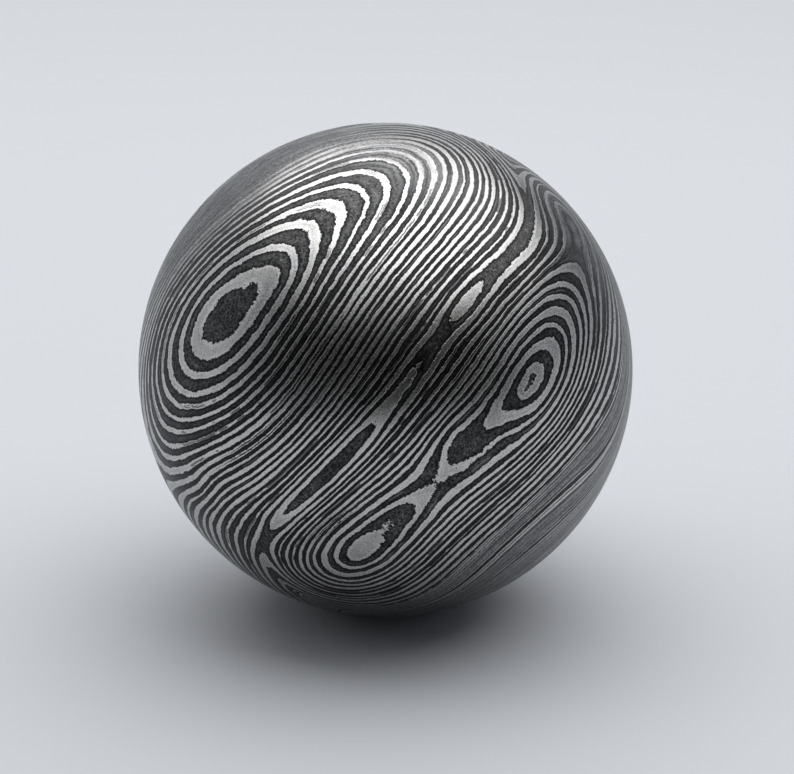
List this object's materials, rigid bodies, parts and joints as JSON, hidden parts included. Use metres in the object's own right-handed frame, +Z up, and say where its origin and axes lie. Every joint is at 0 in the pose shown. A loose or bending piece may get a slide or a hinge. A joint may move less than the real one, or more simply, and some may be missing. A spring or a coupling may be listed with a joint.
{
  "type": "metal ball",
  "caption": "Solid ball of pattern-welded steel, ground round and etched so that its bright and dark layers show as flowing contour lines.",
  "frame": {"origin": "the ball's centre", "axes": "+Z up, +X to the right and -Y to the front, where the layers curl round the widest rings"},
  "size_m": [0.05, 0.05, 0.05],
  "materials": {
    "layered_steel": "ground and acid-etched pattern-welded steel: bright satin layers between dark grey ones"
  },
  "bodies": {
    "root": {"ball": "layered_steel"}
  },
  "joints": []
}
